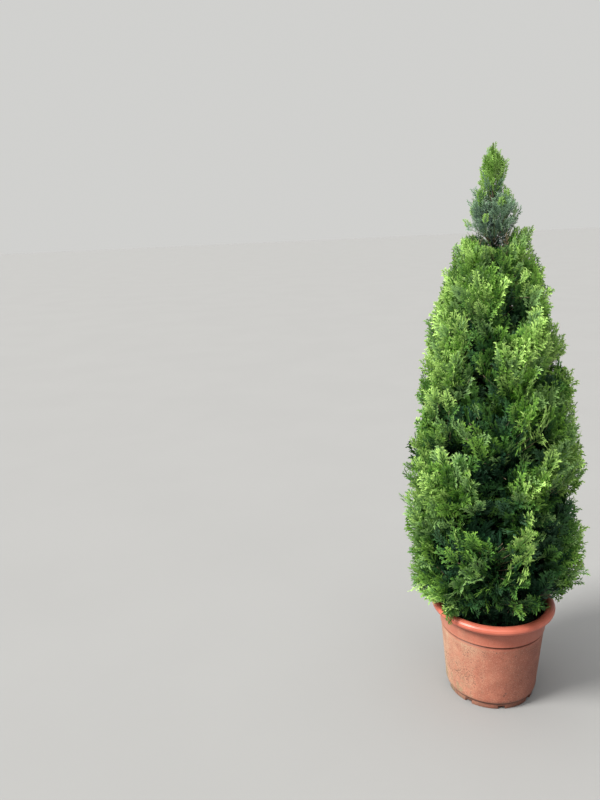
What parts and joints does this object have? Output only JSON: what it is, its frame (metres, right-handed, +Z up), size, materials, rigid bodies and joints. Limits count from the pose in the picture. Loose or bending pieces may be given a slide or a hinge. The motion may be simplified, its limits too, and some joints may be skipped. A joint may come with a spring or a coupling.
{
  "type": "potted hinoki cypress tree",
  "caption": "Tall conical cypress tree with flat fan-shaped sprays, a narrow upper tier and a leaning trunk, growing in a round tapered nursery pot with a rolled rim.",
  "frame": {"origin": "middle of the flat underside of the pot, on the surface that the pot stands on", "axes": "+Z up along the pot's axis; the trunk leans towards -X and slightly +Y; the picture looks along +Y and slightly +X"},
  "size_m": [0.5962, 0.5931, 1.862],
  "materials": {
    "terracotta_plastic": "matte",
    "potting_soil": "rough",
    "bark": "rough",
    "foliage": "matte",
    "upper_foliage": "matte"
  },
  "bodies": {
    "root": {"pot": "terracotta_plastic", "soil": "potting_soil", "trunk": "bark", "mass_skirt_1": "foliage", "mass_skirt_2": "foliage", "mass_skirt_3": "foliage", "mass_skirt_4": "foliage", "mass_skirt_5": "foliage", "bough_lower_1": "bark", "mass_lower_1": "foliage", "bough_lower_2": "bark", "mass_lower_2": "foliage", "bough_lower_3": "bark", "mass_lower_3": "foliage", "bough_lower_4": "bark", "mass_lower_4": "foliage", "bough_lower_5": "bark", "mass_lower_5": "foliage", "bough_broad_1": "bark", "mass_broad_1": "foliage", "bough_broad_2": "bark", "mass_broad_2": "foliage", "bough_broad_3": "bark", "mass_broad_3": "foliage", "bough_broad_4": "bark", "mass_broad_4": "foliage", "bough_broad_5": "bark", "mass_broad_5": "foliage", "bough_middle_1": "bark", "mass_middle_1": "foliage", "bough_middle_2": "bark", "mass_middle_2": "foliage", "bough_middle_3": "bark", "mass_middle_3": "foliage", "bough_middle_4": "bark", "mass_middle_4": "foliage", "bough_middle_5": "bark", "mass_middle_5": "foliage", "mass_shoulder_1": "foliage", "mass_shoulder_2": "foliage", "mass_shoulder_3": "foliage", "mass_shoulder_4": "foliage", "mass_upper_1": "foliage", "mass_upper_2": "foliage", "mass_upper_3": "foliage", "mass_upper_4": "foliage", "mass_prong_1": "foliage", "mass_prong_2": "foliage", "mass_prong_3": "foliage", "mass_prong_4": "foliage", "mass_waist_1": "upper_foliage", "mass_waist_2": "upper_foliage", "mass_waist_3": "upper_foliage", "mass_spire_1": "upper_foliage", "mass_spire_2": "upper_foliage", "mass_spire_3": "upper_foliage"}
  },
  "joints": []
}
